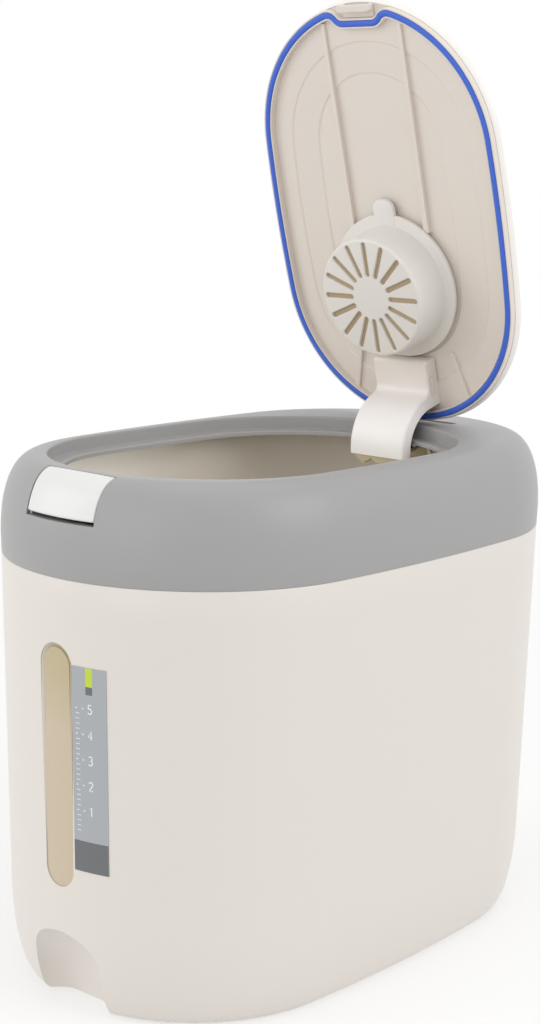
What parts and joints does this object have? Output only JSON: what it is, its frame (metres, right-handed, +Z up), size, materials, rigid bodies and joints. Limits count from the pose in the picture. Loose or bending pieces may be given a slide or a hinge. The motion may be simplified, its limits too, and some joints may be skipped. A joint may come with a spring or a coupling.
{
  "type": "rice bin with flip lid",
  "caption": "Oval rice bin with a level window, press-button latch, sealed flip lid on a sprung goose-neck hinge and a slotted freshness holder in the lid.",
  "frame": {"origin": "centre of the base, on the surface the bin stands on", "axes": "X is the width, Y the length with the latch button at -Y, Z up; drawn with the lid open"},
  "size_m": [0.219, 0.3506, 0.5319],
  "materials": {
    "body_plastic": "satin warm white moulding",
    "smoky_plastic": "smoky brown moulding",
    "window_plastic": "clear tan pane",
    "label_film": "printed film",
    "collar_plastic": "satin mid grey moulding",
    "grey_plastic": "plain moulding",
    "button_plastic": "smooth white moulding",
    "lid_plastic": "satin pale beige moulding",
    "holder_plastic": "satin pale beige moulding",
    "bush_plastic": "low-friction moulding",
    "blue_rubber": "soft blue seal",
    "steel": "plated steel",
    "spring_steel": "spring steel",
    "pack_fabric": "fibre pouch"
  },
  "bodies": {
    "bin": {"outer_body": "body_plastic", "inner_bin": "smoky_plastic", "window_pane": "window_plastic", "level_label": "label_film", "collar": "collar_plastic", "latch_housing": "grey_plastic", "latch_screws": "steel", "hinge_bracket": "grey_plastic", "bracket_screws": "steel", "hinge_pin": "steel", "pin_clips": "spring_steel", "hinge_spring": "spring_steel"},
    "lid": {"lid_cover": "lid_plastic", "lid_panel": "lid_plastic", "lid_gasket": "blue_rubber", "lid_catch": "lid_plastic", "hinge_arm": "lid_plastic", "arm_cover": "lid_plastic", "arm_screws": "steel", "hinge_bushes": "bush_plastic", "holder_base": "lid_plastic", "freshness_pack": "pack_fabric"},
    "holder": {"holder_cap": "holder_plastic"},
    "button": {"latch_button": "button_plastic"},
    "slider": {"latch_hook": "grey_plastic", "latch_spring": "spring_steel"}
  },
  "joints": [
    {"name": "lid_hinge", "type": "hinge", "parent": "bin", "child": "lid", "pos_m": [0, 0.1177, 0.2717], "axis": [1, 0, 0], "range_deg": [0, 74.4], "stiffness_Nm_per_rad": 0.19, "springref_deg": -59.59},
    {"name": "holder_twist", "type": "hinge", "parent": "lid", "child": "holder", "pos_m": [0, 0.09717, 0.36792], "axis": [0, -0.9632, -0.2689], "range_deg": [0, 20]},
    {"name": "button_press", "type": "hinge", "parent": "bin", "child": "button", "pos_m": [0, -0.1565, 0.2765], "axis": [1, 0, 0], "range_deg": [0, 6], "stiffness_Nm_per_rad": 0.1, "springref_deg": -1.15},
    {"name": "latch_slide", "type": "slide", "parent": "bin", "child": "slider", "axis": [0, 1, 0], "range_m": [0, 0.00178]}
  ],
  "couplings": [
    {"joint": "latch_slide", "follows": "button_press", "m_per_rad": 0.01696}
  ]
}
